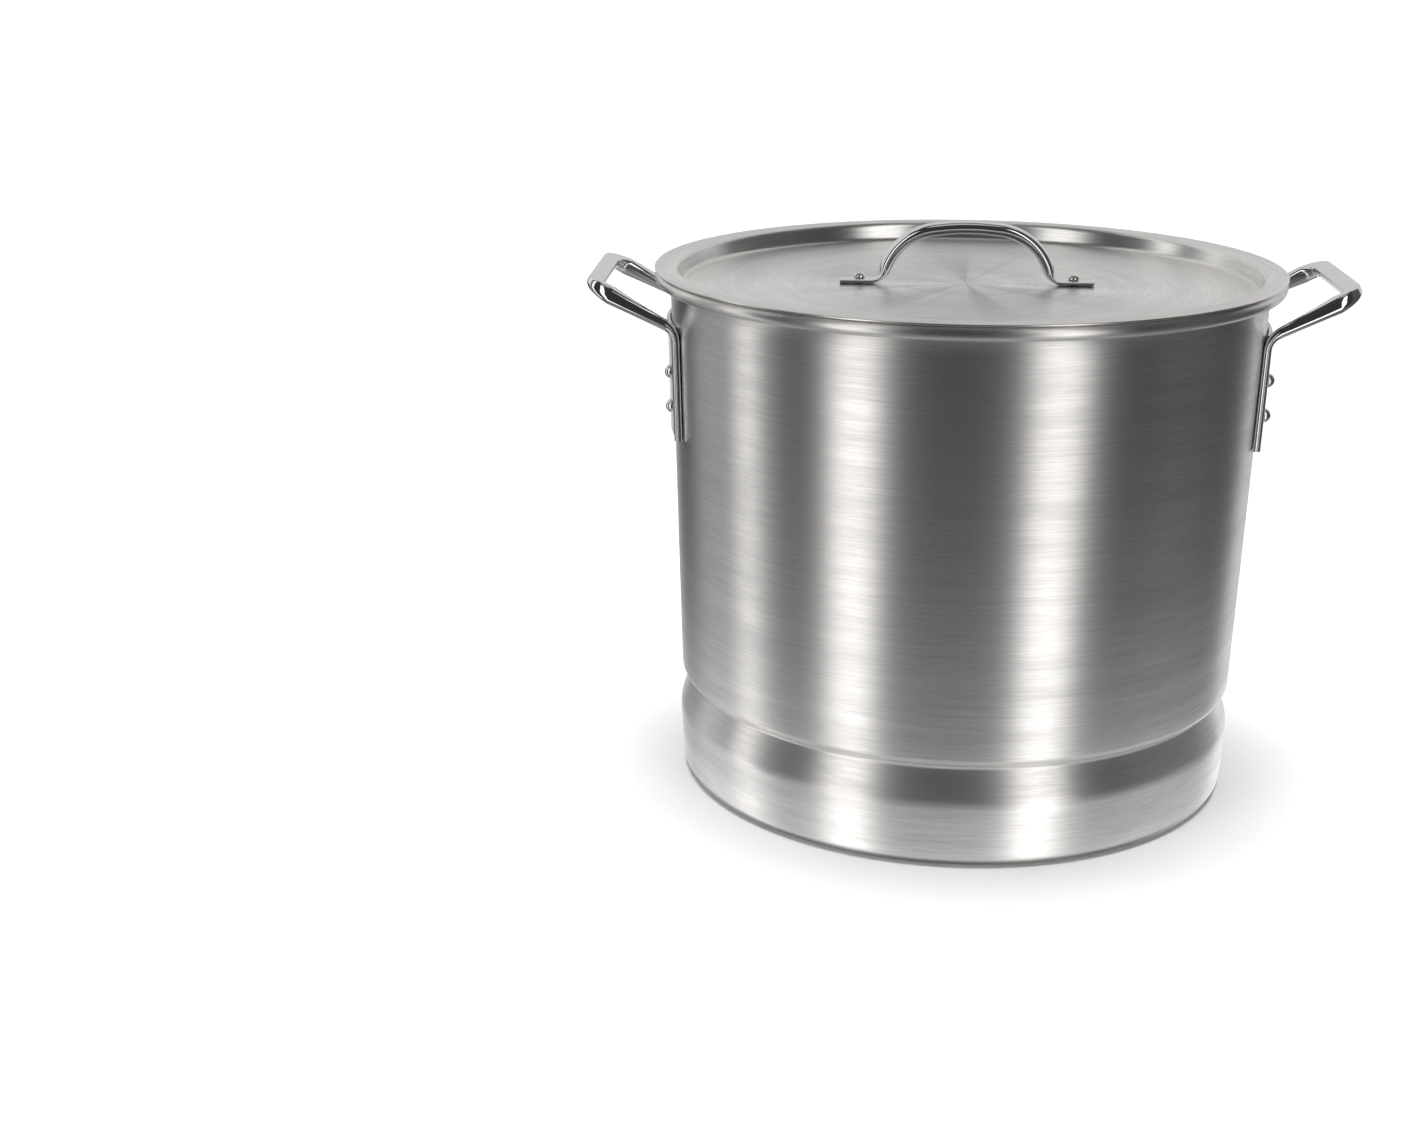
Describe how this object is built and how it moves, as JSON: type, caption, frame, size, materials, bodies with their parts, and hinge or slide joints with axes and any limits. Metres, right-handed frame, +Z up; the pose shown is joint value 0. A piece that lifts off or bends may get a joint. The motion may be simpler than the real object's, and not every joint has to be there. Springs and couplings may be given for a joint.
{
  "type": "brew kettle",
  "caption": "Tall aluminium stock pot with a rolled rim, inner ledge with a perforated steamer plate, lift-off lid with a bow handle, and riveted steel loop handles.",
  "frame": {"origin": "middle of the flat underside of the base", "axes": "+Z up along the pot's axis; the two side handles lie on the X axis, and the lid's handle runs along X"},
  "size_m": [0.5166, 0.4306, 0.3933],
  "materials": {
    "pot_sheet": "brushed around the axis, satin",
    "lid_sheet": "spun, satin with fine turning lines",
    "plate_sheet": "spun, satin",
    "handle_steel": "bright chrome plate",
    "rivet_metal": "polished heads"
  },
  "bodies": {
    "kettle": {"kettle_base": "pot_sheet", "kettle_wall": "pot_sheet", "kettle_rim": "pot_sheet", "handle_left": "handle_steel", "handle_right": "handle_steel", "handle_rivet_right_1": "rivet_metal", "handle_rivet_right_2": "rivet_metal", "handle_rivet_right_3": "rivet_metal", "handle_rivet_right_4": "rivet_metal", "handle_rivet_left_1": "rivet_metal", "handle_rivet_left_2": "rivet_metal", "handle_rivet_left_3": "rivet_metal", "handle_rivet_left_4": "rivet_metal"},
    "steamer_plate": {"steamer_plate": "plate_sheet"},
    "lid": {"lid_pan": "lid_sheet", "lid_handle": "handle_steel", "lid_rivet_left": "rivet_metal", "lid_rivet_right": "rivet_metal"}
  },
  "joints": [
    {"name": "plate_lift", "type": "slide", "parent": "kettle", "child": "steamer_plate", "axis": [0, 0, 1], "range_m": [0, 0.34]},
    {"name": "lid_lift", "type": "slide", "parent": "steamer_plate", "child": "lid", "axis": [0, 0, 1], "range_m": [0, 0.3]}
  ]
}
